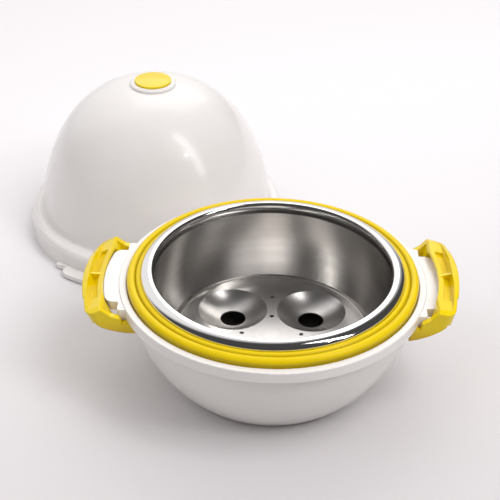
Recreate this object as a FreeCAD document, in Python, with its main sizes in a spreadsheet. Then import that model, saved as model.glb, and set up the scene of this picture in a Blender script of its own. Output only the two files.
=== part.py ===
import FreeCAD, Part
import math
import os
import re
import Sketcher
from FreeCAD import Placement, Rotation, Vector

# Microwave egg cooker: a bowl with two swinging latches, and its domed lid.
# All sizes are in millimetres. The origin is the centre of the bowl's foot, +X runs along the
# latches, +Z is up. The lid stands beside the bowl, open side down on the same surface.

DOC = FreeCAD.newDocument("egg_cooker")
SHEET = DOC.addObject("Spreadsheet::Sheet", "sizes")

SIZES = {
    # How far a cut runs past the face that it leaves
    "overshoot": 1.0,
    # Bowl shell
    "foot_radius": 50.0,
    "foot_band": 6.0,
    "foot_centre": 12.0,
    "foot_recess": 0.8,
    "foot_round": 2.5,
    "shell_wall": 2.4,
    "rim_overhang": 3.8,
    "bowl_curve": 85.0,
    "rim_radius": 80.0,
    "rim_over_hinge": 3.8,
    "rim_depth": 5.8,
    "rim_edge": 3.9,
    "rim_round": 0.6,
    "rim_web": 3.5,
    # Lugs on the bowl and on the lid
    "lug_inset": 12.0,
    "lug_shoulder_inset": 2.0,
    "lug_half": 31.0,
    "tongue_reach": 4.4,
    "tongue_half": 24.0,
    "lug_curve": 90.0,
    "lug_thickness": 5.0,
    "lug_corner": 5.0,
    "lug_nook": 1.5,
    # Hinges
    "hinge_inset": 7.4,
    "hinge_height": 48.7,
    "hinge_block_radius": 3.4,
    "hinge_block_inset": 0.2,
    "hinge_block_depth": 6.6,
    "pin_radius": 1.5,
    "pin_seat": 7.4,
    "pin_press": 0.02,
    "pin_running": 0.06,
    "pin_chamfer": 0.3,
    "pin_end_gap": 0.2,
    # Seal ring
    "ring_bore_gap": 0.6,
    "ring_shelf_lift": 1.7,
    "ring_shelf_depth": 2.6,
    "ring_slope": 2.0,
    "ring_crest_lift": 2.4,
    "ring_groove_depth": 1.4,
    "ring_crest_pitch": 4.0,
    "ring_shoulder": 2.4,
    "ring_plug": 2.2,
    "ring_plug_depth": 3.0,
    "ring_clearance": 0.3,
    # Metal liner of the bowl
    "sheet": 0.8,
    "liner_floor": 8.0,
    "liner_heel": 16.0,
    "liner_heel_curve": 14.4,
    "ledge_lift": 12.8,
    "ledge_inset": 10.1,
    "ledge_width": 2.0,
    "liner_curve": 80.0,
    "crest_gap": 0.7,
    "crest_radius": 2.3,
    # Tray
    "tray_clearance": 0.4,
    "tray_rim": 3.6,
    "tray_turn": 45.0,
    "well_margin": 1.3,
    "well_radius": 19.0,
    "well_depth": 7.0,
    "well_hole": 7.0,
    "steam_hole": 1.2,
    "steam_inner": 16.0,
    "steam_margin": 18.0,
    # Latches, drawn closed and measured from the hinge axis
    "arm_thickness": 3.5,
    "latch_wall": 1.8,
    "latch_reach": 17.9,
    "latch_bow": 1.6,
    "latch_shoulder_inset": 5.8,
    "latch_corner": 5.4,
    "corner_bulge": 1.05,
    "latch_top": 20.3,
    "brow_fall": 5.0,
    "latch_low": 2.3,
    "latch_ends_low": 10.0,
    "latch_tail": 2.6,
    "latch_tail_drop": 4.4,
    "tail_high": 1.2,
    "arm_curve": 42.0,
    "arm_end_low": 9.4,
    "arm_nape": 0.9,
    "nape_low": 3.2,
    "nape_face": 1.3,
    "arm_high": 6.9,
    "arm_knee": 4.5,
    "arm_knee_high": 10.2,
    "ledge_foot": 7.6,
    "ledge_high": 16.2,
    "ledge_corner": 2.4,
    "brow_foot": 9.8,
    "brow_back": 13.4,
    "cheek_root": 6.8,
    "hub_gap": 0.3,
    "hub_cap": 0.8,
    "latch_hub": 2.9,
    "heel_reach": 3.75,
    "heel_angle": 90.0,
    "heel_spread": 12.0,
    "hook_gap": 0.3,
    "hook_thickness": 1.2,
    "hook_tip": 11.4,
    "lip_tip": 9.8,
    "lip_width": 2.6,
    "lip_low": 14.7,
    "lug_sag": 2.3,
    "window_gap": 0.6,
    "window_corner": 5.0,
    "groove_margin": 2.6,
    "grip_lip": 1.3,
    "grip_lip_height": 2.0,
    "gusset_thickness": 1.8,
    "gusset_drop": 1.0,
    "left_open_angle": 26.0,
    "right_open_angle": 13.0,
    # Lid shell
    "lid_shift": 4.6,
    "lid_overlap": 8.9,
    "lid_turn": 69.3,
    "skirt_height": 14.5,
    "skirt_round": 4.2,
    "dome_root_round": 3.0,
    "dome_step": 8.2,
    "dome_curve": 101.8,
    "crown_curve": 58.7,
    "dome_knee_inset": 17.3,
    "dome_knee_drop": 25.6,
    "knee_across": 0.833,
    "knee_up": 0.553,
    "dome_top": 95.2,
    "neck_radius": 12.4,
    "neck_root": 14.0,
    "neck_height": 2.0,
    "lid_wall": 2.4,
    "lid_lug_low": 1.0,
    "lid_lug_thickness": 2.6,
    # Metal liner and retaining ring of the lid
    "lid_liner_gap": 3.0,
    "lid_flange_inset": 3.4,
    "lid_ring_height": 4.3,
    "lid_ring_thickness": 1.7,
    "lid_ring_overlap": 0.9,
    "lid_ring_lip": 2.0,
    "lid_ring_clearance": 0.3,
    # Vent plug
    "vent_radius": 11.2,
    "vent_thickness": 1.1,
    "vent_crown": 0.6,
    "vent_round": 0.5,
    "stem_radius": 3.5,
    "stem_clearance": 0.15,
    "clip_radius": 8.0,
    "clip_thickness": 1.2,
    "stem_tail": 2.0,
}

# Sizes and places that follow from others
TIED = {
    "bowl_radius": "rim_radius - rim_overhang",
    "rim_low": "hinge_height + rim_over_hinge",
    "rim_height": "rim_low + rim_depth",
    "channel_floor": "rim_low + rim_web",
    "lug_root": "rim_radius - lug_inset",
    "lug_shoulder": "rim_radius - lug_shoulder_inset",
    "tongue_end": "rim_radius + tongue_reach",
    "lug_top": "rim_low + lug_thickness",
    "hinge_reach": "rim_radius - hinge_inset",
    "hinge_block_half": "lug_half - hinge_block_inset",
    "hinge_block_root": "hinge_reach - hinge_block_depth",
    "ring_bore": "liner_mouth + sheet + ring_bore_gap",
    "ring_shelf": "rim_height + ring_shelf_lift",
    "ring_shelf_radius": "ring_inner_crest - ring_slope",
    "ring_crest": "ring_shelf + ring_crest_lift",
    "ring_groove": "ring_crest - ring_groove_depth",
    "ring_inner_crest": "ring_outer_crest - ring_crest_pitch",
    "ring_outer_crest": "ring_radius - ring_shoulder",
    "ring_radius": "rim_radius - rim_edge - ring_clearance",
    "liner_floor_radius": "ledge_radius - liner_heel",
    "ledge_height": "liner_floor + ledge_lift",
    "ledge_radius": "liner_mouth - ledge_inset",
    "liner_mouth": "ring_shelf_radius - crest_gap - 2 * crest_radius",
    "liner_neck": "ring_shelf",
    "well_pitch": "ledge_radius - tray_clearance - sheet - well_radius - well_margin",
    "steam_outer": "ledge_radius - steam_margin",
    "latch_half": "hub_face + arm_thickness",
    "latch_shoulder": "latch_half - latch_shoulder_inset",
    "ledge_shoulder": "latch_shoulder",
    "hub_face": "lug_half + hub_gap",
    "window_half": "tongue_half + window_gap",
    "groove_half": "window_half - groove_margin",
    "hook_height": "rim_height + lid_lug_low + lid_lug_thickness + hook_gap - hinge_height",
    "lid_x": "lid_shift - rim_radius",
    "lid_y": "2 * rim_radius - lid_overlap",
    "dome_radius": "rim_radius - dome_step",
    "dome_knee_radius": "dome_radius - dome_knee_inset",
    "dome_knee_height": "dome_top - dome_knee_drop",
    "lid_flange_radius": "rim_radius - lid_wall - lid_ring_lip - 2 * lid_ring_clearance",
    "lid_flange_bore": "dome_radius - lid_flange_inset",
    "lid_ring_bore": "lid_flange_bore - lid_ring_overlap",
}

for row, (alias, value) in enumerate(SIZES.items(), start=1):
    SHEET.set("A%d" % row, alias.replace("_", " "))
    SHEET.set("B%d" % row, str(value))
    SHEET.setAlias("B%d" % row, alias)
DOC.recompute()

WORD = re.compile(r"[a-z][a-z_]+")


def bound(text):
    """The expression with every tied name written out and every size's name pointed at the sheet."""
    def pointed(found):
        word = found.group(0)
        if word in TIED:
            return "(" + bound(TIED[word]) + ")"
        return "sizes." + word if word in SIZES else word
    return WORD.sub(pointed, text)


def number(text):
    return float(SHEET.evalExpression(bound(text)))


# Sketches


def new_body(label):
    body = DOC.addObject("PartDesign::Body", label)
    body.Label = label
    return body


def new_sketch(body, name, role, lift="0"):
    """A sketch on one of the body's own origin planes, lifted along its normal."""
    sketch = body.newObject("Sketcher::SketchObject", name)
    plane = [item for item in body.Origin.OriginFeatures if item.Role == role][0]
    sketch.AttachmentSupport = [(plane, "")]
    sketch.MapMode = "FlatFace"
    if lift != "0":
        sketch.AttachmentOffset = Placement(Vector(0, 0, number(lift)), Rotation())
        sketch.setExpression("AttachmentOffset.Base.z", bound(lift))
    return sketch


def pin_point(sketch, piece, end, across, up):
    """Holds one end of a drawn line or arc at a place given by two expressions."""
    for kind, text in (("DistanceX", across), ("DistanceY", up)):
        index = sketch.addConstraint(Sketcher.Constraint(kind, -1, 1, piece, end, number(text)))
        if text != "0":
            sketch.setExpression("Constraints[%d]" % index, bound(text))


def arc_between(start, finish, radius, left):
    """The circle arc of a radius from start to finish that turns left, or right."""
    chord = finish - start
    half = chord.Length / 2
    side = Vector(-chord.y, chord.x, 0).normalize()
    if not left:
        side = side * -1
    centre = (start + finish) * 0.5 + side * math.sqrt(max(radius ** 2 - half ** 2, 0))
    first, last = (start, finish) if left else (finish, start)
    angles = [math.atan2(point.y - centre.y, point.x - centre.x) for point in (first, last)]
    return Part.ArcOfCircle(Part.Circle(centre, Vector(0, 0, 1), radius), angles[0], angles[1])


def outline(sketch, steps):
    """A closed outline. A step is (across, up) for a straight run to that point, or
    (across, up, radius, "left" or "right") for an arc to it."""
    points = [Vector(number(step[0]), number(step[1]), 0) for step in steps]
    ends = []
    for place, step in enumerate(steps):
        start, finish = points[place - 1], points[place]
        if len(step) == 2:
            piece = sketch.addGeometry(Part.LineSegment(start, finish), False)
            ends.append((piece, 1, 2))
            continue
        left = step[3] == "left"
        piece = sketch.addGeometry(arc_between(start, finish, number(step[2]), left), False)
        ends.append((piece, 1, 2) if left else (piece, 2, 1))
    for place, (piece, first, last) in enumerate(ends):
        before = ends[place - 1]
        sketch.addConstraint(Sketcher.Constraint("Coincident", before[0], before[2], piece, first))
    for place, (piece, first, last) in enumerate(ends):
        pin_point(sketch, piece, last, steps[place][0], steps[place][1])
        if len(steps[place]) == 4:
            radius = steps[place][2]
            index = sketch.addConstraint(Sketcher.Constraint("Radius", piece, number(radius)))
            sketch.setExpression("Constraints[%d]" % index, bound(radius))


def round_outline(sketch, across, up, radius):
    """A full circle."""
    centre = Vector(number(across), number(up), 0)
    piece = sketch.addGeometry(Part.Circle(centre, Vector(0, 0, 1), number(radius)), False)
    pin_point(sketch, piece, 3, across, up)
    index = sketch.addConstraint(Sketcher.Constraint("Radius", piece, number(radius)))
    sketch.setExpression("Constraints[%d]" % index, bound(radius))


# Features


def spun(body, name, steps, kind="Revolution"):
    """A revolved form about the body's upright axis, or with kind Groove the cut of one."""
    sketch = new_sketch(body, name + "_outline", "XZ_Plane")
    outline(sketch, steps)
    feature = body.newObject("PartDesign::" + kind, name)
    feature.Profile = sketch
    feature.ReferenceAxis = (sketch, ["V_Axis"])
    feature.Angle = 360.0
    return feature


def raised(body, name, sketch, length, both_ways=False, back=False):
    pad = body.newObject("PartDesign::Pad", name)
    pad.Profile = sketch
    pad.Length = number(length)
    pad.setExpression("Length", bound(length))
    if both_ways:
        pad.SideType = "Symmetric"
    pad.Reversed = back
    return pad


def sunk(body, name, sketch, length=None, both_ways=False, back=False):
    """A pocket of a length, or right through the body where no length is given."""
    pocket = body.newObject("PartDesign::Pocket", name)
    pocket.Profile = sketch
    if length is None:
        pocket.Type = "ThroughAll"
    else:
        pocket.Length = number(length)
        pocket.setExpression("Length", bound(length))
    if both_ways:
        pocket.SideType = "Symmetric"
    pocket.Reversed = back
    return pocket


def mirrored(body, name, originals, role):
    mirror = body.newObject("PartDesign::Mirrored", name)
    mirror.Originals = originals
    plane = [item for item in body.Origin.OriginFeatures if item.Role == role][0]
    mirror.MirrorPlane = (plane, [""])
    body.Tip = mirror
    return mirror


def ringed(body, name, originals, count):
    pattern = body.newObject("PartDesign::PolarPattern", name)
    pattern.Originals = originals
    axis = [item for item in body.Origin.OriginFeatures if item.Role == "Z_Axis"][0]
    pattern.Axis = (axis, [""])
    pattern.Angle = 360.0
    pattern.Occurrences = count
    body.Tip = pattern
    return pattern


def softened(body, name, radius, chosen):
    """A fillet along every edge of the body so far that the test picks."""
    DOC.recompute()
    base = body.Tip
    names = ["Edge%d" % (place + 1) for place, edge in enumerate(base.Shape.Edges) if chosen(edge)]
    fillet = body.newObject("PartDesign::Fillet", name)
    fillet.Base = (base, names)
    fillet.Radius = number(radius)
    fillet.setExpression("Radius", bound(radius))
    return fillet


def ring_edge(radius, height):
    """Picks the edges that lie on a level circle about the upright axis."""
    reach, level = number(radius), number(height)

    def chosen(edge):
        places = [edge.valueAt(edge.FirstParameter + share * (edge.LastParameter - edge.FirstParameter))
                  for share in (0.0, 0.37, 0.5, 1.0)]
        return all(abs(math.hypot(place.x, place.y) - reach) < 0.01 and abs(place.z - level) < 0.01
                   for place in places)
    return chosen


def upright_edge(across, along):
    """Picks the edges that stand upright at a distance from both middle planes."""
    reach, side = number(across), number(along)

    def chosen(edge):
        if len(edge.Vertexes) != 2:
            return False
        low, high = [vertex.Point for vertex in edge.Vertexes]
        level = math.hypot(high.x - low.x, high.y - low.y) < 0.01 and abs(high.z - low.z) > 0.5
        return level and abs(abs(low.x) - reach) < 0.01 and abs(abs(low.y) - side) < 0.01
    return chosen


def lug_outline(sketch):
    """A broad root with a narrower tongue, whose end is bowed like the rim."""
    outline(sketch, [
        ("lug_root", "-lug_half"),
        ("lug_shoulder", "-lug_half"),
        ("lug_shoulder", "-tongue_half"),
        ("tongue_end", "-tongue_half"),
        ("tongue_end", "tongue_half", "lug_curve", "left"),
        ("lug_shoulder", "tongue_half"),
        ("lug_shoulder", "lug_half"),
        ("lug_root", "lug_half"),
    ])


def softened_lugs(body):
    softened(body, "tongue_corners", "lug_corner", upright_edge("tongue_end", "tongue_half"))
    softened(body, "shoulder_corners", "lug_nook", upright_edge("lug_shoulder", "lug_half"))


# Bowl shell


def make_base_shell():
    body = new_body("base_shell")
    spun(body, "bowl_form", [
        ("0", "0"),
        ("foot_radius", "0"),
        ("bowl_radius", "rim_low", "bowl_curve", "left"),
        ("rim_radius", "rim_low"),
        ("rim_radius", "rim_height"),
        ("rim_radius - rim_edge", "rim_height"),
        ("rim_radius - rim_edge", "channel_floor"),
        ("0", "channel_floor"),
    ])
    lug_sketch = new_sketch(body, "lug_outline", "XY_Plane", "rim_low")
    lug_outline(lug_sketch)
    lug = raised(body, "lug", lug_sketch, "lug_top - rim_low")
    block_sketch = new_sketch(body, "hinge_block_outline", "XZ_Plane")
    outline(block_sketch, [
        ("hinge_block_root", "rim_low + overshoot"),
        ("hinge_block_root", "hinge_height - hinge_block_radius"),
        ("hinge_reach", "hinge_height - hinge_block_radius"),
        ("hinge_reach + hinge_block_radius", "hinge_height", "hinge_block_radius", "left"),
        ("hinge_reach + hinge_block_radius", "rim_low + overshoot"),
    ])
    block = raised(body, "hinge_block", block_sketch, "2 * hinge_block_half", both_ways=True)
    holes = []
    places = (("front_pin_hole", "hinge_block_half", False), ("rear_pin_hole", "-hinge_block_half", True))
    for name, lift, back in places:
        hole_sketch = new_sketch(body, name + "_outline", "XZ_Plane", lift)
        round_outline(hole_sketch, "hinge_reach", "hinge_height", "pin_radius + pin_press")
        holes.append(sunk(body, name, hole_sketch, "pin_seat", back=back))
    mirrored(body, "far_side", [lug, block] + holes, "YZ_Plane")
    spun(body, "bowl_hollow", [
        ("0", "foot_recess + shell_wall"),
        ("foot_radius", "foot_recess + shell_wall"),
        ("bowl_radius - shell_wall", "rim_low", "bowl_curve - shell_wall", "left"),
        ("bowl_radius - shell_wall", "channel_floor + overshoot"),
        ("0", "channel_floor + overshoot"),
    ], "Groove")
    spun(body, "ring_seat", [
        ("0", "channel_floor"),
        ("ring_radius + ring_clearance", "channel_floor"),
        ("ring_radius + ring_clearance", "rim_height + overshoot"),
        ("0", "rim_height + overshoot"),
    ], "Groove")
    spun(body, "foot_hollow", [
        ("foot_centre", "-overshoot"),
        ("foot_radius - foot_band", "-overshoot"),
        ("foot_radius - foot_band", "foot_recess"),
        ("foot_centre", "foot_recess"),
    ], "Groove")
    softened(body, "foot_edge", "foot_round", ring_edge("foot_radius", "0"))
    top_edge = [ring_edge("rim_radius", "rim_height"), ring_edge("rim_radius - rim_edge", "rim_height")]
    softened(body, "rim_edges", "rim_round", lambda edge: any(test(edge) for test in top_edge))
    softened_lugs(body)
    return body


# Metal liner of the bowl


def make_base_liner():
    body = new_body("base_liner")
    spun(body, "liner_form", [
        ("0", "liner_floor - sheet"),
        ("liner_floor_radius", "liner_floor - sheet"),
        ("ledge_radius - ledge_width + sheet", "ledge_height - sheet", "liner_heel_curve + sheet", "left"),
        ("ledge_radius + sheet", "ledge_height - sheet"),
        ("liner_mouth + sheet", "liner_neck", "liner_curve + sheet", "left"),
        ("liner_mouth + sheet", "liner_neck + crest_radius"),
        ("liner_mouth + crest_radius", "liner_neck + 2 * crest_radius - sheet",
         "crest_radius - sheet", "right"),
        ("liner_mouth + 2 * crest_radius - sheet", "liner_neck + crest_radius",
         "crest_radius - sheet", "right"),
        ("liner_mouth + 2 * crest_radius - sheet", "ring_shelf"),
        ("liner_mouth + 2 * crest_radius", "ring_shelf"),
        ("liner_mouth + 2 * crest_radius", "liner_neck + crest_radius"),
        ("liner_mouth + crest_radius", "liner_neck + 2 * crest_radius", "crest_radius", "left"),
        ("liner_mouth", "liner_neck + crest_radius", "crest_radius", "left"),
        ("liner_mouth", "liner_neck"),
        ("ledge_radius", "ledge_height", "liner_curve", "right"),
        ("ledge_radius - ledge_width", "ledge_height"),
        ("liner_floor_radius", "liner_floor", "liner_heel_curve", "right"),
        ("0", "liner_floor"),
    ])
    return body


# Seal ring


def make_seal_ring():
    body = new_body("seal_ring")
    plug = "bowl_radius - shell_wall - ring_clearance"
    crest_gap = "((ring_outer_crest - ring_inner_crest) / 2)"
    dip = "(ring_crest - ring_groove)"
    ridge = "(" + crest_gap + "^2 + " + dip + "^2) / (2 * " + dip + ")"
    slope = "(ring_inner_crest - ring_shelf_radius)"
    rise = "(ring_crest - ring_shelf)"
    spun(body, "ring_form", [
        ("ring_bore", "ring_shelf - ring_shelf_depth"),
        (plug + " - ring_plug", "ring_shelf - ring_shelf_depth"),
        (plug + " - ring_plug", "channel_floor - ring_plug_depth"),
        (plug, "channel_floor - ring_plug_depth"),
        (plug, "channel_floor"),
        ("ring_radius", "channel_floor"),
        ("ring_radius", "ring_crest - (ring_radius - ring_outer_crest)"),
        ("ring_outer_crest", "ring_crest", "ring_radius - ring_outer_crest", "left"),
        ("ring_inner_crest + " + crest_gap, "ring_groove", ridge, "left"),
        ("ring_inner_crest", "ring_crest", ridge, "left"),
        ("ring_shelf_radius", "ring_shelf",
         "(" + slope + "^2 + " + rise + "^2) / (2 * " + rise + ")", "left"),
        ("ring_bore", "ring_shelf"),
    ])
    return body


# Tray


def make_tray():
    body = new_body("tray")
    edge = "ledge_radius - tray_clearance"
    spun(body, "tray_form", [
        ("0", "ledge_height"),
        (edge, "ledge_height"),
        (edge, "ledge_height + tray_rim"),
        (edge + " - sheet", "ledge_height + tray_rim"),
        (edge + " - sheet", "ledge_height + sheet"),
        ("0", "ledge_height + sheet"),
    ])
    dish = "(well_radius^2 + well_depth^2) / (2 * well_depth)"
    cup_sketch = new_sketch(body, "well_cup_outline", "XZ_Plane")
    outline(cup_sketch, [
        ("well_pitch", "ledge_height + sheet"),
        ("well_pitch", "ledge_height - well_depth"),
        ("well_pitch + well_radius + sheet", "ledge_height + sheet", "(" + dish + ") + sheet", "left"),
    ])
    cup = body.newObject("PartDesign::Revolution", "well_cup")
    hollow_sketch = new_sketch(body, "well_hollow_outline", "XZ_Plane")
    outline(hollow_sketch, [
        ("well_pitch", "ledge_height + sheet"),
        ("well_pitch", "ledge_height + sheet - well_depth"),
        ("well_pitch + well_radius", "ledge_height + sheet", dish, "left"),
    ])
    hollow = body.newObject("PartDesign::Groove", "well_hollow")
    for feature, sketch in ((cup, cup_sketch), (hollow, hollow_sketch)):
        feature.Profile = sketch
        feature.ReferenceAxis = (sketch, ["Edge2"])
        feature.Angle = 360.0
    hole_sketch = new_sketch(body, "well_hole_outline", "XY_Plane", "ledge_height + tray_rim")
    round_outline(hole_sketch, "well_pitch", "0", "well_hole")
    hole = sunk(body, "well_hole", hole_sketch)
    ringed(body, "wells", [cup, hollow, hole], 4)
    steam_holes = []
    for name, reach in (("inner_steam_hole", "steam_inner"), ("outer_steam_hole", "steam_outer")):
        steam_sketch = new_sketch(body, name + "_outline", "XY_Plane", "ledge_height + tray_rim")
        round_outline(steam_sketch, reach + " * cos(tray_turn)", reach + " * sin(tray_turn)", "steam_hole")
        steam_holes.append(sunk(body, name, steam_sketch))
    ringed(body, "steam_holes", steam_holes, 4)
    body.setExpression("Placement", bound("create(<<placement>>; create(<<vector>>; 0; 0; 0); "
                       "create(<<rotation>>; tray_turn; 0; 0))"))
    return body


# Latches


def make_latch(label, side, turn, opened):
    """A clip bowed like the rim, on two arms, with a hook ledge whose lip goes round the bowl's lug.
    It is drawn closed, with the hinge axis along Y through the body's own origin, then swung open
    by its placement."""
    body = new_body(label)
    bow = "(latch_shoulder^2 + latch_bow^2) / (2 * latch_bow)"
    brow = "latch_reach - latch_bow"
    shell_face = brow + " - latch_wall"

    block_sketch = new_sketch(body, "clip_outline", "XY_Plane", "-latch_tail_drop")
    outline(block_sketch, [
        ("-latch_tail", "-latch_half"),
        (brow + " - latch_corner", "-latch_half"),
        (brow, "-latch_shoulder", "corner_bulge * latch_corner", "left"),
        (brow, "latch_shoulder", bow, "left"),
        (brow + " - latch_corner", "latch_half", "corner_bulge * latch_corner", "left"),
        ("-latch_tail", "latch_half"),
    ])
    raised(body, "clip", block_sketch, "latch_top + latch_tail_drop")

    under_sketch = new_sketch(body, "arm_under_outline", "XZ_Plane")
    outline(under_sketch, [
        ("-latch_tail - overshoot", "-latch_tail_drop - overshoot"),
        (shell_face, "-latch_tail_drop - overshoot"),
        (shell_face, "arm_end_low"),
        ("-latch_tail", "-latch_tail_drop", "arm_curve", "right"),
        ("-latch_tail - overshoot", "-latch_tail_drop"),
    ])
    sunk(body, "arm_under", under_sketch, both_ways=True)
    moon_sketch = new_sketch(body, "half_moon_outline", "YZ_Plane", shell_face + " - overshoot")
    moon_rise = "(latch_ends_low - latch_low)"
    moon_half = "(latch_half + overshoot)"
    outline(moon_sketch, [
        ("-" + moon_half, "-latch_tail_drop - overshoot"),
        (moon_half, "-latch_tail_drop - overshoot"),
        (moon_half, "latch_ends_low"),
        ("-" + moon_half, "latch_ends_low",
         "(%s^2 + %s^2) / (2 * %s)" % (moon_half, moon_rise, moon_rise), "right"),
    ])
    sunk(body, "half_moon", moon_sketch, back=True)
    over_sketch = new_sketch(body, "arm_over_outline", "XZ_Plane")
    outline(over_sketch, [
        ("-latch_tail - overshoot", "tail_high"),
        ("-latch_tail", "tail_high"),
        ("-arm_nape", "nape_low"),
        ("nape_face", "nape_low"),
        ("nape_face", "arm_high"),
        ("arm_knee", "arm_knee_high"),
        ("ledge_foot", "ledge_high"),
        ("brow_foot", "ledge_high"),
        ("brow_back", "latch_top + overshoot"),
        ("-latch_tail - overshoot", "latch_top + overshoot"),
    ])
    sunk(body, "arm_over", over_sketch, both_ways=True)

    ledge_sketch = new_sketch(body, "ledge_outline", "XY_Plane", "latch_top + overshoot")
    ledge_half = "ledge_shoulder"
    ledge_bow = "(ledge_shoulder^2 + latch_bow^2) / (2 * latch_bow)"
    outline(ledge_sketch, [
        ("0", "-ledge_shoulder - ledge_corner"),
        (shell_face + " - ledge_corner", "-ledge_shoulder - ledge_corner"),
        (shell_face, "-" + ledge_half, "ledge_corner", "left"),
        (shell_face, ledge_half, ledge_bow, "left"),
        (shell_face + " - ledge_corner", "ledge_shoulder + ledge_corner", "ledge_corner", "left"),
        ("0", "ledge_shoulder + ledge_corner"),
    ])
    sunk(body, "ledge", ledge_sketch, "latch_top + overshoot - ledge_high")
    groove_sketch = new_sketch(body, "ledge_groove_outline", "XY_Plane", "ledge_high + overshoot")
    lip_back = "(lip_tip + lip_width - lug_sag)"
    outline(groove_sketch, [
        (lip_back, "groove_half"),
        (lip_back, "-groove_half", "(groove_half^2 + lug_sag^2) / (2 * lug_sag)", "right"),
        (shell_face, "-groove_half"),
        (shell_face, "groove_half", "(groove_half^2 + latch_bow^2) / (2 * latch_bow)", "left"),
    ])
    sunk(body, "ledge_groove", groove_sketch, "ledge_high + overshoot - hook_height - hook_thickness")

    arch_sketch = new_sketch(body, "hook_arch_outline", "XY_Plane", "hook_height")
    outline(arch_sketch, [
        ("-latch_tail - overshoot", "-window_half"),
        (shell_face, "-window_half"),
        (shell_face, "window_half", "(window_half^2 + latch_bow^2) / (2 * latch_bow)", "left"),
        ("-latch_tail - overshoot", "window_half"),
    ])
    sunk(body, "hook_arch", arch_sketch, "hook_height + latch_tail_drop + overshoot")
    chord = "(window_half - window_corner)"
    sag = "(%s^2 + lug_sag^2) / (2 * lug_sag)" % chord
    for name, tip, base, top in (("hook_window", "hook_tip", "hook_height - overshoot", "lip_low"),
                                 ("lip_window", "lip_tip", "lip_low", "latch_top + overshoot")):
        window_sketch = new_sketch(body, name + "_outline", "XY_Plane", top)
        side_end = tip + " - lug_sag - window_corner"
        outline(window_sketch, [
            ("-latch_tail - overshoot", "-window_half"),
            (side_end, "-window_half"),
            (tip + " - lug_sag", "-" + chord, "window_corner", "left"),
            (tip + " - lug_sag", chord, sag, "left"),
            (side_end, "window_half", "window_corner", "left"),
            ("-latch_tail - overshoot", "window_half"),
        ])
        sunk(body, name, window_sketch, "%s - (%s)" % (top, base))
    cheek_sketch = new_sketch(body, "cheek_room_outline", "XY_Plane", "latch_top + overshoot")
    outline(cheek_sketch, [
        ("-latch_tail - overshoot", "-hub_face"),
        ("cheek_root", "-hub_face"),
        ("cheek_root", "hub_face"),
        ("-latch_tail - overshoot", "hub_face"),
    ])
    sunk(body, "cheek_room", cheek_sketch, "latch_top + latch_tail_drop + 2 * overshoot")

    hub_sketch = new_sketch(body, "hub_outline", "XZ_Plane", "hub_face")
    round_outline(hub_sketch, "0", "0", "latch_hub")
    hub = raised(body, "hub", hub_sketch, "latch_half - hub_face")
    heel_sketch = new_sketch(body, "heel_outline", "XZ_Plane", "hub_face")
    outline(heel_sketch, [
        ("0", "0"),
        ("latch_hub * cos(heel_angle - heel_spread + %s)" % opened,
         "latch_hub * sin(heel_angle - heel_spread + %s)" % opened),
        ("heel_reach * cos(heel_angle + %s)" % opened, "heel_reach * sin(heel_angle + %s)" % opened),
        ("latch_hub * cos(heel_angle + 3 * heel_spread + %s)" % opened,
         "latch_hub * sin(heel_angle + 3 * heel_spread + %s)" % opened),
    ])
    heel = raised(body, "heel", heel_sketch, "latch_half - hub_face")
    bore_sketch = new_sketch(body, "bore_outline", "XZ_Plane", "hub_face")
    round_outline(bore_sketch, "0", "0", "pin_radius + pin_running")
    bore = sunk(body, "bore", bore_sketch, "latch_half - hub_face - hub_cap", back=True)
    mirrored(body, "far_side", [hub, heel, bore], "XZ_Plane")

    lip_sketch = new_sketch(body, "grip_lip_outline", "XY_Plane", "latch_top - grip_lip_height")
    lip = "(latch_bow + grip_lip)"
    outline(lip_sketch, [
        (brow + " - latch_wall / 4", "-latch_shoulder"),
        (brow, "-latch_shoulder"),
        (brow, "latch_shoulder", "(latch_shoulder^2 + " + lip + "^2) / (2 * " + lip + ")", "left"),
        (brow + " - latch_wall / 4", "latch_shoulder"),
    ])
    raised(body, "grip_lip", lip_sketch, "grip_lip_height")
    fall_sketch = new_sketch(body, "brow_fall_outline", "YZ_Plane", "-latch_tail - overshoot")
    outline(fall_sketch, [
        ("-latch_half", "latch_top + overshoot"),
        ("-latch_half", "latch_top - brow_fall"),
        ("latch_half", "latch_top - brow_fall", "(latch_half^2 + brow_fall^2) / (2 * brow_fall)", "right"),
        ("latch_half", "latch_top + overshoot"),
    ])
    sunk(body, "brow_fall", fall_sketch, back=True)
    gusset_sketch = new_sketch(body, "gusset_outline", "XZ_Plane")
    outline(gusset_sketch, [
        ("lip_tip + lip_width / 2", "hook_height + hook_thickness / 2"),
        ("latch_reach - latch_wall / 2", "hook_height + hook_thickness / 2"),
        ("latch_reach - latch_wall / 2", "latch_top - gusset_drop"),
        ("lip_tip + lip_width / 2", "ledge_high"),
    ])
    raised(body, "gusset", gusset_sketch, "gusset_thickness", both_ways=True)
    body.setExpression("Placement", bound("create(<<placement>>; create(<<vector>>; %s * hinge_reach; 0; "
                       "hinge_height); create(<<rotation>>; %s; %s; 0))" % (side, turn, opened)))
    return body


def make_pin(label, side, front):
    """A short pin pressed into the bowl's ear, standing out through the latch's hub."""
    body = new_body(label)
    sketch = new_sketch(body, "pin_outline", "XZ_Plane", "hinge_block_half - pin_seat")
    round_outline(sketch, "0", "0", "pin_radius")
    pin = raised(body, "pin", sketch, "latch_half - hub_cap - pin_end_gap - hinge_block_half + pin_seat")
    DOC.recompute()
    ends = ["Edge%d" % (place + 1) for place, edge in enumerate(pin.Shape.Edges) if edge.Closed]
    chamfer = body.newObject("PartDesign::Chamfer", "pin_chamfer")
    chamfer.Base = (pin, ends)
    chamfer.Size = number("pin_chamfer")
    chamfer.setExpression("Size", bound("pin_chamfer"))
    body.setExpression("Placement", bound("create(<<placement>>; create(<<vector>>; %s * hinge_reach; 0; "
                       "hinge_height); create(<<rotation>>; %s; 0; 0))" % (side, 0 if front else 180)))
    return body


# Lid


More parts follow.
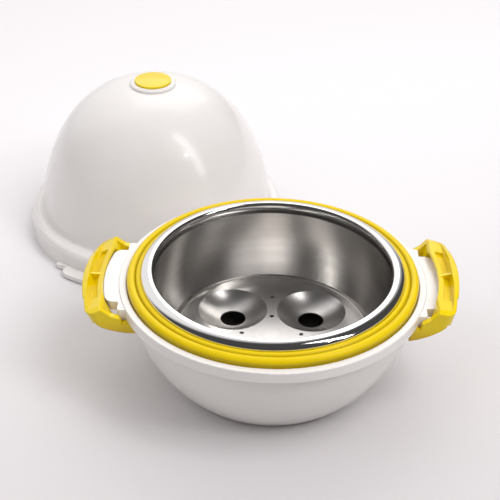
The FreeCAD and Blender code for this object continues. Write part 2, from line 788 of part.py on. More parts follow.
def dome_steps(inset, upward):
    """The dome's line from its root to its crown, or back, set in from the outside by an amount."""
    root = ("dome_radius - (%s)" % inset, "skirt_height")
    knee = ("dome_knee_radius - knee_across * (%s)" % inset, "dome_knee_height - knee_up * (%s)" % inset)
    crown = ("neck_root", "dome_top - (%s)" % inset)
    side, cap = "dome_curve - (%s)" % inset, "crown_curve - (%s)" % inset
    if upward:
        return [root, knee + (side, "left"), crown + (cap, "left")]
    return [crown, knee + (cap, "right"), root + (side, "right")]


def stand_lid_piece(body):
    body.setExpression("Placement", bound("create(<<placement>>; create(<<vector>>; lid_x; lid_y; 0); "
                       "create(<<rotation>>; lid_turn; 0; 0))"))
    return body


def make_lid_shell():
    body = new_body("lid_shell")
    spun(body, "dome_form", [
        ("0", "0"),
        ("rim_radius", "0"),
        ("rim_radius", "skirt_height - skirt_round"),
        ("rim_radius - skirt_round", "skirt_height", "skirt_round", "left"),
    ] + dome_steps("0", True) + [
        ("neck_root", "dome_top + neck_height / 2"),
        ("neck_radius", "dome_top + neck_height", "neck_height", "left"),
        ("0", "dome_top + neck_height"),
    ])
    lug_sketch = new_sketch(body, "lug_outline", "XY_Plane", "lid_lug_low")
    lug_outline(lug_sketch)
    lug = raised(body, "lug", lug_sketch, "lid_lug_thickness")
    mirrored(body, "far_side", [lug], "YZ_Plane")
    spun(body, "dome_hollow", [
        ("0", "-overshoot"),
        ("rim_radius - lid_wall", "-overshoot"),
        ("rim_radius - lid_wall", "skirt_height - lid_wall"),
        ("dome_radius - lid_wall", "skirt_height - lid_wall"),
    ] + dome_steps("lid_wall", True) + [
        ("0", "dome_top - lid_wall"),
    ], "Groove")
    hole_sketch = new_sketch(body, "stem_hole_outline", "XY_Plane", "dome_top + neck_height")
    round_outline(hole_sketch, "0", "0", "stem_radius + stem_clearance")
    sunk(body, "stem_hole", hole_sketch)
    softened_lugs(body)
    softened(body, "dome_root", "dome_root_round", ring_edge("dome_radius", "skirt_height"))
    return stand_lid_piece(body)


def make_lid_liner():
    body = new_body("lid_liner")
    outer, inner = "lid_wall + lid_liner_gap", "lid_wall + lid_liner_gap + sheet"
    flange = "lid_ring_height + lid_ring_thickness"
    spun(body, "liner_form", [
        ("lid_flange_bore", flange),
        ("lid_flange_radius", flange),
        ("lid_flange_radius", flange + " + sheet"),
        ("lid_flange_bore + sheet", flange + " + sheet"),
    ] + dome_steps(outer, True) + [
        ("stem_radius + stem_clearance", "dome_top - (%s)" % outer),
        ("stem_radius + stem_clearance", "dome_top - (%s)" % inner),
    ] + dome_steps(inner, False))
    return stand_lid_piece(body)


def make_lid_ring():
    body = new_body("lid_ring")
    edge = "rim_radius - lid_wall - lid_ring_clearance"
    spun(body, "ring_form", [
        ("lid_ring_bore", "lid_ring_height"),
        (edge, "lid_ring_height"),
        (edge, "skirt_height - lid_wall - lid_ring_clearance"),
        (edge + " - lid_ring_lip", "skirt_height - lid_wall - lid_ring_clearance"),
        (edge + " - lid_ring_lip", "lid_ring_height + lid_ring_thickness"),
        ("lid_ring_bore", "lid_ring_height + lid_ring_thickness"),
    ])
    return stand_lid_piece(body)


def make_vent_cap():
    body = new_body("vent_cap")
    seat = "dome_top + neck_height"
    tail = "dome_top - lid_wall - lid_liner_gap - sheet - clip_thickness - stem_tail"
    spun(body, "cap_form", [
        ("0", tail),
        ("stem_radius", tail),
        ("stem_radius", seat),
        ("vent_radius", seat),
        ("vent_radius", seat + " + vent_thickness"),
        ("0", seat + " + vent_thickness + vent_crown",
         "(vent_radius^2 + vent_crown^2) / (2 * vent_crown)", "left"),
    ])
    softened(body, "cap_edge", "vent_round", ring_edge("vent_radius", seat + " + vent_thickness"))
    return stand_lid_piece(body)


def make_vent_clip():
    body = new_body("vent_clip")
    top = "dome_top - lid_wall - lid_liner_gap - sheet"
    spun(body, "clip_form", [
        ("stem_radius", top + " - clip_thickness"),
        ("clip_radius", top + " - clip_thickness"),
        ("clip_radius", top),
        ("stem_radius", top),
    ])
    return stand_lid_piece(body)


if __name__ == "__main__":
    make_base_shell()
    make_base_liner()
    make_seal_ring()
    make_tray()
    make_latch("left_latch", -1, 180, "left_open_angle")
    make_latch("right_latch", 1, 0, "right_open_angle")
    for side_name, side in (("left", -1), ("right", 1)):
        make_pin(side_name + "_pin_front", side, True)
        make_pin(side_name + "_pin_rear", side, False)
    make_lid_shell()
    make_lid_liner()
    make_lid_ring()
    make_vent_cap()
    make_vent_clip()
    DOC.recompute()
    for item in DOC.Objects:
        if "Invalid" in item.State or "Error" in item.State:
            raise RuntimeError("%s is %s" % (item.Name, item.State))
    os.makedirs("parts", exist_ok=True)
    for body in [item for item in DOC.Objects if item.TypeId == "PartDesign::Body"]:
        if body.Shape.isNull() or not body.Shape.isValid() or len(body.Shape.Solids) != 1:
            raise RuntimeError("%s is not one valid solid" % body.Label)
        body.Shape.exportStep("parts/%s.step" % body.Label)
        print("%-16s %9.0f cubic millimetres" % (body.Label, body.Shape.Volume))
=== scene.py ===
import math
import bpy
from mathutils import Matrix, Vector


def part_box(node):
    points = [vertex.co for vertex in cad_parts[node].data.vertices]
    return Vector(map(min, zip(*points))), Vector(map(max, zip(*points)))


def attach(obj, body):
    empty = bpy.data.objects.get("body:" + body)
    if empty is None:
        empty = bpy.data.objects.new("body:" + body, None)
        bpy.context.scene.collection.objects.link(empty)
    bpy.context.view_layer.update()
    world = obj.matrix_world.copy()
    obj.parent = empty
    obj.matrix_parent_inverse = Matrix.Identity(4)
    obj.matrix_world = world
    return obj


bl_info = {
    "name": "Microwave egg cooker",
    "version": (1, 0, 0),
    "blender": (4, 5, 0),
    "location": "View3D > Sidebar > Egg cooker",
    "description": "Finishes the bowl, latches and lid of a microwave egg cooker and sets its stage",
    "category": "Object",
}

import bpy
from bpy.props import FloatProperty, FloatVectorProperty, PointerProperty
from mathutils import Matrix, Vector

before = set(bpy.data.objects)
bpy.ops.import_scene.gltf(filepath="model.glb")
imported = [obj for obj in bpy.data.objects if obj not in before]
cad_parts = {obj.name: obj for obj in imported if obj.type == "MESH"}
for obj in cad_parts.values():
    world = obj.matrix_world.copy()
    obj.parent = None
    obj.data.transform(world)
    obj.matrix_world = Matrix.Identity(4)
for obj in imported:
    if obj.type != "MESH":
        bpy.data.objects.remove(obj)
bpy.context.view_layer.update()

# The axis that the bowl, its liner and its tray are turned about, and the lid's own axis
BOWL_CENTRE = (0.0, 0.0, 0.0)
LID_LOW, LID_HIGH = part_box("lid_ring")
LID_CENTRE = (Vector(LID_LOW) + Vector(LID_HIGH)) / 2

# The bead round the metal bowl: its top, and its outer and inner radius
BEAD_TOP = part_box("base_liner")[1][2]
BEAD_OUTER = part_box("base_liner")[1][0]
BEAD_INNER = BEAD_OUTER - 0.0046

# The section of the polished crest over the bead: how far it laps the bead's inner side, width and
# height of its inner turn, height of its outer slope, and depth of its inner edge below its top
CREST_LAP = 0.00012
CREST_TURN = (0.0015, 0.0022)
CREST_SLOPE = 0.0034
CREST_DEPTH = 0.0062

# Under the slope: how far the lip goes in and down, how far the recess behind it stays outside the
# bead and how far it is below the slope's foot, and the same for the hem, but below the crest's top
CREST_LIP = (0.0004, 0.0002)
CREST_RECESS = (0.0005, 0.0005)
CREST_HEM = (0.0003, 0.0056)

# The seal ring's top, the radius of the groove between its two lips, how far from there the groove's
# painted shade is full and gone, and how far below the top the skirt's painted shade is full and
# gone
SEAL_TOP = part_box("seal_ring")[1][2]
SEAL_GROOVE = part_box("seal_ring")[1][0] - 0.0044
GROOVE_SHADE = (0.0002, 0.0012)
SKIRT_SHADE = (0.0032, 0.0012)

# How far below the top of a latch its painted shade fades out and its full colour begins
LATCH_PAINTED_SHADE_FROM_TOP = 0.006

# The camera's sensor, in millimetres, as the lens setting takes it
SENSOR_WIDTH = 36.0


# Shader maths


class Field:
    """A number that changes over a surface. Arithmetic on it adds Math nodes."""

    def __init__(self, nodes, socket):
        self.nodes, self.socket = nodes, socket

    def worked(self, operation, *values):
        made = self.nodes.node("ShaderNodeMath", {"operation": operation}, *values)
        return Field(self.nodes, made.outputs[0])

    def __add__(self, other):
        return self.worked("ADD", self, other)

    def __radd__(self, other):
        return self.worked("ADD", other, self)

    def __sub__(self, other):
        return self.worked("SUBTRACT", self, other)

    def __rsub__(self, other):
        return self.worked("SUBTRACT", other, self)

    def __mul__(self, other):
        return self.worked("MULTIPLY", self, other)

    def __rmul__(self, other):
        return self.worked("MULTIPLY", other, self)

    def __pow__(self, other):
        return self.worked("POWER", self, other)

    def __abs__(self):
        return self.worked("ABSOLUTE", self)

    def between(self, low, high, start=0.0, end=1.0):
        """The start value below low, the end value above high, and a smooth step between them."""
        settings = {"interpolation_type": "SMOOTHSTEP"}
        made = self.nodes.node("ShaderNodeMapRange", settings, self, low, high, start, end)
        return Field(self.nodes, made.outputs[0])


class Nodes:
    """A node tree whose nodes are added one by one."""

    def __init__(self, tree):
        self.tree = tree

    def node(self, kind, settings=None, *values, **named):
        """Adds a node, gives it its settings, then the values or links of its sockets."""
        made = self.tree.nodes.new(kind)
        for key, value in (settings or {}).items():
            setattr(made, key, value)
        for place, value in enumerate(values):
            self.feed(made.inputs[place], value)
        for key, value in named.items():
            self.feed(made.inputs[key.replace("_", " ")], value)
        return made

    def feed(self, socket, value):
        """Links a socket to a field or another socket, or sets its value."""
        if isinstance(value, Field):
            value = value.socket
        if isinstance(value, bpy.types.NodeSocket):
            self.tree.links.new(value, socket)
        else:
            socket.default_value = value

    def split(self, vector):
        """The three numbers of a vector."""
        parts = self.node("ShaderNodeSeparateXYZ", {}, vector)
        return [Field(self, socket) for socket in parts.outputs]


class Finish(Nodes):
    """A material, its shader and the patterns on it."""

    def __init__(self, name):
        self.material = bpy.data.materials.new(name)
        self.material.use_nodes = True
        super().__init__(self.material.node_tree)
        self.tree.nodes.clear()
        self.shader = self.node("ShaderNodeBsdfPrincipled")
        self.node("ShaderNodeOutputMaterial", {}, Surface=self.shader.outputs[0])
        self.place = self.node("ShaderNodeTexCoord").outputs["Object"]

    def centred(self, centre):
        """The piece's own coordinates counted from a centre."""
        settings = {"operation": "SUBTRACT"}
        return self.node("ShaderNodeVectorMath", settings, self.place, tuple(centre)).outputs[0]

    def ringed(self, radius, height):
        """Coordinates that are the same all the way round an axis, for a pattern of rings."""
        return self.node("ShaderNodeCombineXYZ", {}, radius, 0.0, height).outputs[0]

    def noise(self, scale, detail=2.0, vector=None, roughness=0.5):
        made = self.node("ShaderNodeTexNoise", {}, Vector=vector or self.place, Scale=scale,
                         Detail=detail, Roughness=roughness)
        return Field(self, made.outputs["Fac"])

    def mixed(self, factor, first, second):
        """A colour between two, by a factor."""
        made = self.node("ShaderNodeMix", {"data_type": "RGBA"}, factor)
        for name, value in (("A", first), ("B", second)):
            socket = [item for item in made.inputs if item.name == name and item.type == "RGBA"][0]
            self.feed(socket, (*value, 1.0) if isinstance(value, tuple) else value)
        return [item for item in made.outputs if item.type == "RGBA"][0]

    def raised(self, height, strength, distance, softened=None):
        """Relief from a height, with the edges softened to a radius where one is given."""
        bump = self.node("ShaderNodeBump", {}, Strength=strength, Distance=distance, Height=height)
        if softened is not None:
            soft = self.node("ShaderNodeBevel", {"samples": 6}, Radius=softened)
            self.feed(bump.inputs["Normal"], soft.outputs[0])
        self.feed(self.shader.inputs["Normal"], bump.outputs[0])

    def wear(self, **inputs):
        """Feeds the shader and hands over the finished material."""
        for key, value in inputs.items():
            self.feed(self.shader.inputs[key.replace("_", " ")], value)
        return self.material


def darkened(colour, share):
    """A colour with a share of its light left."""
    return tuple(value * share for value in colour)


def dress(names, material):
    """Gives CAD pieces their finish."""
    for name in names:
        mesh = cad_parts[name].data
        mesh.materials.clear()
        mesh.materials.append(material)


# Finishes


def white_plastic(colour, roughness):
    """Glossy moulded white, a little cloudy, with a fine skin."""
    made = Finish("moulded_white_plastic")
    cloud = made.noise(14.0, detail=3.0)
    skin = made.noise(900.0)
    tone = made.mixed(cloud.between(0.35, 0.7), colour, darkened(colour, 0.97))
    made.raised(skin, strength=0.04, distance=0.0002)
    return made.wear(Base_Color=tone, Roughness=cloud * 0.08 + roughness, Coat_Weight=0.35,
                     Coat_Roughness=0.06)


def yellow_plastic(name, colour, shade, roughness, low, high):
    """Glossy yellow with painted shade that deepens it from the top of a piece to its foot, along an
    uneven line, with its edges softened as a moulding's are."""
    made = Finish(name)
    cloud = made.noise(30.0, detail=3.0)
    skin = made.noise(1200.0)
    drift = 0.006
    # Painted shade: below a wavy line the yellow turns to the deeper shade colour towards the
    # piece's foot
    up = made.split(made.place)[2] + cloud * drift - drift / 2
    tone = made.mixed(up.between(low, high), shade, colour)
    made.raised(skin, strength=0.05, distance=0.0002, softened=0.0009)
    return made.wear(Base_Color=tone, Roughness=cloud * 0.08 + roughness, Specular_IOR_Level=0.22,
                     Coat_Weight=0.45, Coat_Roughness=0.05)


def yellow_silicone(colour, shade, roughness):
    """Soft cloudy yellow, with painted shade in the groove between the two lips and down the skirt.
    """
    made = Finish("soft_yellow_silicone")
    cloud = made.noise(40.0, detail=3.0)
    skin = made.noise(1500.0, detail=3.0)
    across, along, up = made.split(made.place)
    radius = (across * across + along * along) ** 0.5
    # Painted shade: darker in the groove between the lips and down the skirt, where shade falls
    valley = 1.0 - abs(radius - SEAL_GROOVE).between(*GROOVE_SHADE)
    skirt = 1.0 - up.between(*(SEAL_TOP - depth for depth in SKIRT_SHADE))
    painted_groove_and_skirt_shade = valley.worked("MAXIMUM", valley, skirt)
    tone = made.mixed(cloud.between(0.3, 0.75), colour, shade)
    tone = made.mixed(painted_groove_and_skirt_shade * 0.8, tone, darkened(shade, 0.62))
    made.raised(skin, strength=0.12, distance=0.0002)
    return made.wear(Base_Color=tone, Roughness=cloud * 0.1 + roughness, Specular_IOR_Level=0.22)


def spun_metal(name, centre, colour, roughness, line_depth=0.07):
    """Thin metal turned on a lathe: fine rings round its centre and a soft cloudy polish."""
    made = Finish(name)
    across, along, up = made.split(made.centred(centre))
    rings = made.ringed((across * across + along * along) ** 0.5, up)
    lines = made.noise(2600.0, vector=rings, roughness=0.6)
    bands = made.noise(240.0, detail=3.0, vector=rings, roughness=0.6)
    cloud = made.noise(22.0, detail=3.0)
    tone = made.mixed(bands.between(0.3, 0.7), colour, darkened(colour, 0.93))
    made.raised(lines, strength=line_depth, distance=0.0001)
    return made.wear(Base_Color=tone, Metallic=1.0,
                     Roughness=cloud * (roughness * 0.5) + bands * (roughness * 0.4) + roughness)


def turned_steel(colour):
    """Steel with the fine rings of a lathe along the length of a pin."""
    made = Finish("turned_steel")
    along = made.split(made.place)[1]
    lines = made.noise(3000.0, vector=made.ringed(along, 0.0))
    made.raised(lines, strength=0.2, distance=0.0001)
    return made.wear(Base_Color=made.mixed(lines, colour, darkened(colour, 0.8)),
                     Metallic=1.0, Roughness=lines * 0.15 + 0.22)


def table_top(colour, near):
    """A pale top with painted shade that darkens it towards the front and the right."""
    made = Finish("pale_table")
    cloud = made.noise(1.2)
    across, along = made.split(made.place)[:2]
    tone = made.mixed(cloud, colour, darkened(colour, 0.97))
    # Painted shade: the top darkens towards the front and the right, where less light falls
    slant, near_edge, far_edge = 0.3, -0.25, 0.38
    painted_shade_fade = (along - across * slant).between(near_edge, far_edge)
    return made.wear(Base_Color=made.mixed(painted_shade_fade, near, tone), Roughness=0.55)


# Settings that a user would change


class PlasticSettings(bpy.types.PropertyGroup):
    """Colours and gloss of the moulded pieces."""

    shell: FloatVectorProperty(
        name="Shell colour", description="White of the bowl and the lid",
        subtype="COLOR", size=3, min=0.0, max=1.0, default=(0.825, 0.793, 0.772))
    shell_roughness: FloatProperty(
        name="Shell roughness", description="Gloss of the white plastic",
        subtype="FACTOR", min=0.0, max=1.0, default=0.2)
    latch: FloatVectorProperty(
        name="Latch colour", description="Yellow of the latches and the vent cap",
        subtype="COLOR", size=3, min=0.0, max=1.0, default=(0.82, 0.605, 0.001))
    # The colour of the painted shade at the foot of the latches
    latch_painted_shade: FloatVectorProperty(
        name="Latch shade", description="Deeper yellow at the foot of the latches",
        subtype="COLOR", size=3, min=0.0, max=1.0, default=(0.64, 0.41, 0.001))
    latch_roughness: FloatProperty(
        name="Latch roughness", description="Gloss of the yellow plastic",
        subtype="FACTOR", min=0.0, max=1.0, default=0.16)
    seal: FloatVectorProperty(
        name="Seal colour", description="Yellow of the seal ring",
        subtype="COLOR", size=3, min=0.0, max=1.0, default=(0.79, 0.575, 0.002))
    # The seal's darker cloud tone, and the base of the painted shade in its groove and down its
    # skirt
    seal_cloud_and_painted_shade: FloatVectorProperty(
        name="Seal shade", description="Deeper yellow of the seal's clouds, groove and skirt",
        subtype="COLOR", size=3, min=0.0, max=1.0, default=(0.77, 0.555, 0.001))
    seal_roughness: FloatProperty(
        name="Seal roughness", description="Sheen of the silicone",
        subtype="FACTOR", min=0.0, max=1.0, default=0.24)


class MetalSettings(bpy.types.PropertyGroup):
    """Colours and polish of the metal pieces, and the crest's size."""

    aluminium: FloatVectorProperty(
        name="Aluminium colour", description="Colour of the liners and the tray",
        subtype="COLOR", size=3, min=0.0, max=1.0, default=(0.80, 0.775, 0.75))
    roughness: FloatProperty(
        name="Aluminium roughness", description="Polish of the liners and the tray",
        subtype="FACTOR", min=0.0, max=1.0, default=0.15)
    crest: FloatVectorProperty(
        name="Crest colour", description="Colour of the polished crest",
        subtype="COLOR", size=3, min=0.0, max=1.0, default=(0.86, 0.85, 0.84))
    crest_roughness: FloatProperty(
        name="Crest roughness", description="Polish of the crest",
        subtype="FACTOR", min=0.0, max=1.0, default=0.06)
    crest_rise: FloatProperty(
        name="Crest rise", description="Height of the crest above the metal bowl's bead",
        subtype="DISTANCE", unit="LENGTH", min=0.0, precision=5, default=0.0012)
    crest_reach: FloatProperty(
        name="Crest reach", description="How far the crest reaches out past the bead",
        subtype="DISTANCE", unit="LENGTH", min=0.0, precision=5, default=0.002)
    steel: FloatVectorProperty(
        name="Pin colour", description="Colour of the hinge pins",
        subtype="COLOR", size=3, min=0.0, max=1.0, default=(0.62, 0.62, 0.62))


class StageSettings(bpy.types.PropertyGroup):
    """The table, the lamps and the camera."""

    table: FloatVectorProperty(
        name="Table colour", description="Colour of the pale table",
        subtype="COLOR", size=3, min=0.0, max=1.0, default=(0.885, 0.861, 0.873))
    # The colour of the painted shade on the table's front
    table_near_painted_shade: FloatVectorProperty(
        name="Near table colour", description="Colour of the table's front",
        subtype="COLOR", size=3, min=0.0, max=1.0, default=(0.60, 0.574, 0.58))
    table_width: FloatProperty(
        name="Table width", description="Length of the table's sides",
        subtype="DISTANCE", unit="LENGTH", default=12.0)
    key_power: FloatProperty(
        name="Key lamp", description="Power of the large lamp high behind the cooker",
        subtype="POWER", unit="POWER", default=6.2)
    fill_power: FloatProperty(
        name="Fill lamp", description="Power of the wide lamp at the right, seen in no mirror",
        subtype="POWER", unit="POWER", default=8.0)
    side_power: FloatProperty(
        name="Side lamp", description="Power of the wide lamp at the left, seen in no mirror",
        subtype="POWER", unit="POWER", default=5.0)
    strip_power: FloatProperty(
        name="Strip lamp", description="Power of the long narrow lamp at the right",
        subtype="POWER", unit="POWER", default=3.5)
    glint_power: FloatProperty(
        name="Glint lamp", description="Power of the small lamp that the lid mirrors",
        subtype="POWER", unit="POWER", default=0.8)
    surround: FloatProperty(
        name="Surround", description="Brightness of the ceiling over the table",
        min=0.0, default=0.86)
    room: FloatProperty(
        name="Room", description="Brightness of the room in front of the table",
        min=0.0, default=0.12)
    camera_place: FloatVectorProperty(
        name="Camera place", description="Where the camera stands",
        subtype="TRANSLATION", unit="LENGTH", size=3, default=(0.00019, -0.53647, 0.42442))
    camera_turn: FloatProperty(
        name="Camera turn", description="Turn of the view round the upright axis",
        subtype="ANGLE", unit="ROTATION", default=math.radians(1.3))
    camera_dip: FloatProperty(
        name="Camera dip", description="How far the camera looks down",
        subtype="ANGLE", unit="ROTATION", default=math.radians(33.077))
    camera_roll: FloatProperty(
        name="Camera roll", description="Tilt of the picture",
        subtype="ANGLE", unit="ROTATION", default=math.radians(0.588))
    camera_lens: FloatProperty(
        name="Lens", description="Focal length on a 36 mm sensor",
        subtype="DISTANCE_CAMERA", default=89.61)


# Operators


class COOKER_OT_shells(bpy.types.Operator):
    """Finish the white bowl, the lid and the small white pieces inside the lid"""

    bl_idname = "cooker.shells"
    bl_label = "White shells"

    def execute(self, context):
        plastic = context.scene.cooker_plastic
        material = white_plastic(tuple(plastic.shell), plastic.shell_roughness)
        dress(["base_shell", "lid_shell", "lid_ring", "vent_clip"], material)
        return {"FINISHED"}


class COOKER_OT_latches(bpy.types.Operator):
    """Finish the two yellow latches and the vent cap"""

    bl_idname = "cooker.latches"
    bl_label = "Latches and vent cap"

    def execute(self, context):
        plastic = context.scene.cooker_plastic
        # The painted shade runs from the latch's lowest point up to a little below its top
        low, high = (corner[2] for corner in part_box("left_latch"))
        looks = (tuple(plastic.latch), tuple(plastic.latch_painted_shade), plastic.latch_roughness,
                 low, high - LATCH_PAINTED_SHADE_FROM_TOP)
        dress(["left_latch", "right_latch"], yellow_plastic("glossy_yellow_latch", *looks))
        dress(["vent_cap"], yellow_plastic("glossy_yellow_cap", *looks))
        return {"FINISHED"}


class COOKER_OT_seal(bpy.types.Operator):
    """Finish the yellow seal ring"""

    bl_idname = "cooker.seal"
    bl_label = "Seal ring"

    def execute(self, context):
        plastic = context.scene.cooker_plastic
        looks = tuple(plastic.seal), tuple(plastic.seal_cloud_and_painted_shade), plastic.seal_roughness
        dress(["seal_ring"], yellow_silicone(*looks))
        return {"FINISHED"}


class COOKER_OT_liners(bpy.types.Operator):
    """Finish the metal bowl, the tray and the metal dome in the lid"""

    bl_idname = "cooker.liners"
    bl_label = "Metal liners and tray"

    def execute(self, context):
        metal = context.scene.cooker_metal
        colour, polish = tuple(metal.aluminium), metal.roughness
        dress(["base_liner"], spun_metal("spun_aluminium_bowl", BOWL_CENTRE, colour, polish))
        dress(["tray"], spun_metal("spun_aluminium_tray", BOWL_CENTRE, colour, polish + 0.05))
        dress(["lid_liner"], spun_metal("spun_aluminium_dome", LID_CENTRE, colour, polish))
        return {"FINISHED"}


def quarter_arc(centre, width, height, start, steps):
    """Radius and height along a quarter of an ellipse, turning outwards from an angle."""
    spots = []
    for step in range(steps + 1):
        angle = start - step / steps * math.pi / 2
        spots.append((centre[0] + width * math.cos(angle), centre[1] + height * math.sin(angle)))
    return spots


def crest_outline(rise, reach):
    """Radius and height round the section of the crest: a tight inner turn up to the crown, a slope
    that steepens outwards, and an underside that steps in to the hem and closes below the bead."""
    inner, outer, top = BEAD_INNER - CREST_LAP, BEAD_OUTER + reach, BEAD_TOP + rise
    crown, foot = inner + CREST_TURN[0], top - CREST_SLOPE
    inner_turn = quarter_arc((crown, top - CREST_TURN[1]), *CREST_TURN, math.pi, 12)
    slope = quarter_arc((crown, foot), outer - crown, CREST_SLOPE, math.pi / 2, 24)
    underside = [(outer - CREST_LIP[0], foot - CREST_LIP[1]),
                 (BEAD_OUTER + CREST_RECESS[0], foot - CREST_RECESS[1]),
                 (BEAD_OUTER + CREST_HEM[0], top - CREST_HEM[1])]
    return [(inner, top - CREST_DEPTH)] + inner_turn + slope[1:] + underside


def turned_ring(name, outline, steps):
    """A closed ring with a given section, turned about the upright axis."""
    spots, faces = [], []
    count = len(outline)
    for step in range(steps):
        angle = step / steps * 2 * math.pi
        across, along = math.cos(angle), math.sin(angle)
        spots += [(radius * across, radius * along, height) for radius, height in outline]
        here, there = step * count, (step + 1) % steps * count
        for place in range(count):
            after = (place + 1) % count
            faces.append((here + place, here + after, there + after, there + place))
    mesh = bpy.data.meshes.new(name)
    mesh.from_pydata(spots, [], faces)
    mesh.shade_smooth()
    ring = bpy.data.objects.new(name, mesh)
    bpy.context.scene.collection.objects.link(ring)
    return ring


class COOKER_OT_crest(bpy.types.Operator):
    """Lay the broad polished crest over the metal bowl's bead"""

    bl_idname = "cooker.crest"
    bl_label = "Polished crest"

    def execute(self, context):
        metal = context.scene.cooker_metal
        # A setting keeps about seven digits, so its size is rounded to a whole micrometre
        rise, reach = round(metal.crest_rise, 6), round(metal.crest_reach, 6)
        crest = turned_ring("liner_crest", crest_outline(rise, reach), 256)
        crest.data.materials.append(spun_metal("polished_crest", BOWL_CENTRE, tuple(metal.crest),
                                               metal.crest_roughness, line_depth=0.03))
        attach(crest, "bowl_and_lid")
        return {"FINISHED"}


class COOKER_OT_pins(bpy.types.Operator):
    """Finish the four hinge pins"""

    bl_idname = "cooker.pins"
    bl_label = "Hinge pins"

    def execute(self, context):
        material = turned_steel(tuple(context.scene.cooker_metal.steel))
        dress([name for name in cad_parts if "_pin_" in name], material)
        return {"FINISHED"}


def studio_surround(ceiling, room):
    """Light from all sides: a bright ceiling that falls off to a dimmer room in front of the table.
    Shiny surfaces mirror a darker front than the one that lights the table, and the camera sees a
    pale backdrop all round."""
    world = bpy.data.worlds.new("studio_surround")
    world.use_nodes = True
    nodes = Nodes(world.node_tree)
    sight = nodes.node("ShaderNodeNewGeometry").outputs["Incoming"]

    def fall(bright_side, low, high, dim, bright):
        """Brightness that grows from low to high of the way towards the bright side."""
        lean = nodes.node("ShaderNodeVectorMath", {"operation": "DOT_PRODUCT"}, sight, bright_side)
        return Field(nodes, lean.outputs["Value"]).between(low, high, dim, bright)

    light = fall((0.0, -0.6, -0.8), -0.15, 0.85, room, ceiling)
    mirrored = fall((0.35, -0.8, -0.49), 0.52, 0.85, room * 0.5, ceiling * 1.1)
    path = nodes.node("ShaderNodeLightPath").outputs
    lit = nodes.node("ShaderNodeMix", {}, Factor=path["Is Glossy Ray"], A=light, B=mirrored)
    seen = nodes.node("ShaderNodeMix", {}, Factor=path["Is Camera Ray"], A=lit.outputs["Result"],
                      B=ceiling)
    backdrop = world.node_tree.nodes["Background"]
    nodes.feed(backdrop.inputs["Color"], (1.0, 0.985, 0.995, 1.0))
    nodes.feed(backdrop.inputs["Strength"], seen.outputs["Result"])
    return world


def add_lamp(name, place, target, size, power, colour, mirrored=True):
    """A soft lamp of a width and height that faces a point, seen in mirrors or not."""
    light = bpy.data.lights.new(name, "AREA")
    light.shape = "RECTANGLE"
    light.size, light.size_y = size
    light.energy = power
    light.color = colour
    lamp = bpy.data.objects.new(name, light)
    lamp.location = place
    lamp.rotation_mode = "QUATERNION"
    lamp.rotation_quaternion = (Vector(target) - Vector(place)).to_track_quat("-Z", "Y")
    lamp.visible_glossy = mirrored
    bpy.context.scene.collection.objects.link(lamp)


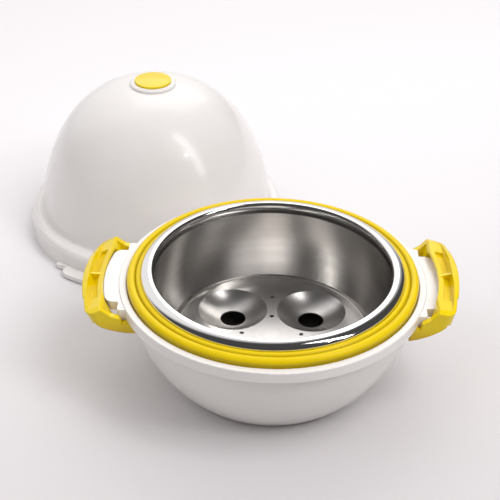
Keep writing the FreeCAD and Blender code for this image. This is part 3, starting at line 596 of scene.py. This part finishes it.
class COOKER_OT_stage(bpy.types.Operator):
    """Lay the pale table, hang the lamps and stand the camera where the photograph was taken"""

    bl_idname = "cooker.stage"
    bl_label = "Table, lamps and camera"

    def execute(self, context):
        stage = context.scene.cooker_stage
        half = stage.table_width / 2
        mesh = bpy.data.meshes.new("table_top")
        corners = [(-half, -half, 0), (half, -half, 0), (half, half, 0), (-half, half, 0)]
        mesh.from_pydata(corners, [], [(0, 1, 2, 3)])
        mesh.materials.append(table_top(tuple(stage.table), tuple(stage.table_near_painted_shade)))
        table = bpy.data.objects.new("table_top", mesh)
        context.scene.collection.objects.link(table)

        context.scene.world = studio_surround(stage.surround, stage.room)
        white, cool, warm = (1.0, 0.995, 0.99), (0.98, 0.985, 1.0), (1.0, 0.985, 0.97)
        lid, bowl = (-0.06, 0.1, 0.07), (0.0, 0.05, 0.0)
        add_lamp("key_lamp", (0.1, 1.4, 1.4), bowl, (1.4, 1.4), stage.key_power, warm)
        add_lamp("fill_lamp", (0.72, -0.45, 1.4), lid, (0.95, 0.95), stage.fill_power, cool,
                 mirrored=False)
        add_lamp("side_lamp", (-0.8, -0.7, 1.1), lid, (1.2, 1.2), stage.side_power, white,
                 mirrored=False)
        add_lamp("strip_lamp", (0.78, -0.36, 1.0), lid, (0.2, 1.2), stage.strip_power, white)
        add_lamp("glint_lamp", (0.74, -0.52, 0.95), lid, (0.07, 0.07), stage.glint_power, white)
        context.scene.view_settings.view_transform = "Standard"

        lens = bpy.data.cameras.new("camera")
        lens.lens = stage.camera_lens
        lens.sensor_width = SENSOR_WIDTH
        lens.clip_start = 0.01
        camera = bpy.data.objects.new("camera", lens)
        turn = Matrix.Rotation(stage.camera_turn, 4, "Z")
        dip = Matrix.Rotation(math.pi / 2 - stage.camera_dip, 4, "X")
        roll = Matrix.Rotation(stage.camera_roll, 4, "Z")
        camera.matrix_world = Matrix.Translation(stage.camera_place) @ turn @ dip @ roll
        context.scene.collection.objects.link(camera)
        context.scene.camera = camera
        return {"FINISHED"}


class COOKER_PT_panel(bpy.types.Panel):
    """Lists the steps that dress the egg cooker, and their settings"""

    bl_idname = "COOKER_PT_panel"
    bl_label = "Egg cooker"
    bl_space_type = "VIEW_3D"
    bl_region_type = "UI"
    bl_category = "Egg cooker"

    def draw(self, context):
        scene = context.scene
        for step in STEPS:
            self.layout.operator(step.bl_idname)
        for group in (scene.cooker_plastic, scene.cooker_metal, scene.cooker_stage):
            for name in group.__annotations__:
                self.layout.prop(group, name)


GROUPS = (PlasticSettings, MetalSettings, StageSettings)
STEPS = (COOKER_OT_stage, COOKER_OT_shells, COOKER_OT_latches, COOKER_OT_seal, COOKER_OT_liners,
         COOKER_OT_crest, COOKER_OT_pins)


def register():
    for item in GROUPS + STEPS + (COOKER_PT_panel,):
        bpy.utils.register_class(item)
    bpy.types.Scene.cooker_plastic = PointerProperty(type=PlasticSettings)
    bpy.types.Scene.cooker_metal = PointerProperty(type=MetalSettings)
    bpy.types.Scene.cooker_stage = PointerProperty(type=StageSettings)


def unregister():
    del bpy.types.Scene.cooker_plastic
    del bpy.types.Scene.cooker_metal
    del bpy.types.Scene.cooker_stage
    for item in reversed(GROUPS + STEPS + (COOKER_PT_panel,)):
        bpy.utils.unregister_class(item)


def main():
    register()
    bpy.ops.cooker.stage()
    bpy.ops.cooker.shells()
    bpy.ops.cooker.latches()
    bpy.ops.cooker.seal()
    bpy.ops.cooker.liners()
    bpy.ops.cooker.crest()
    bpy.ops.cooker.pins()


if __name__ == "__main__":
    main()
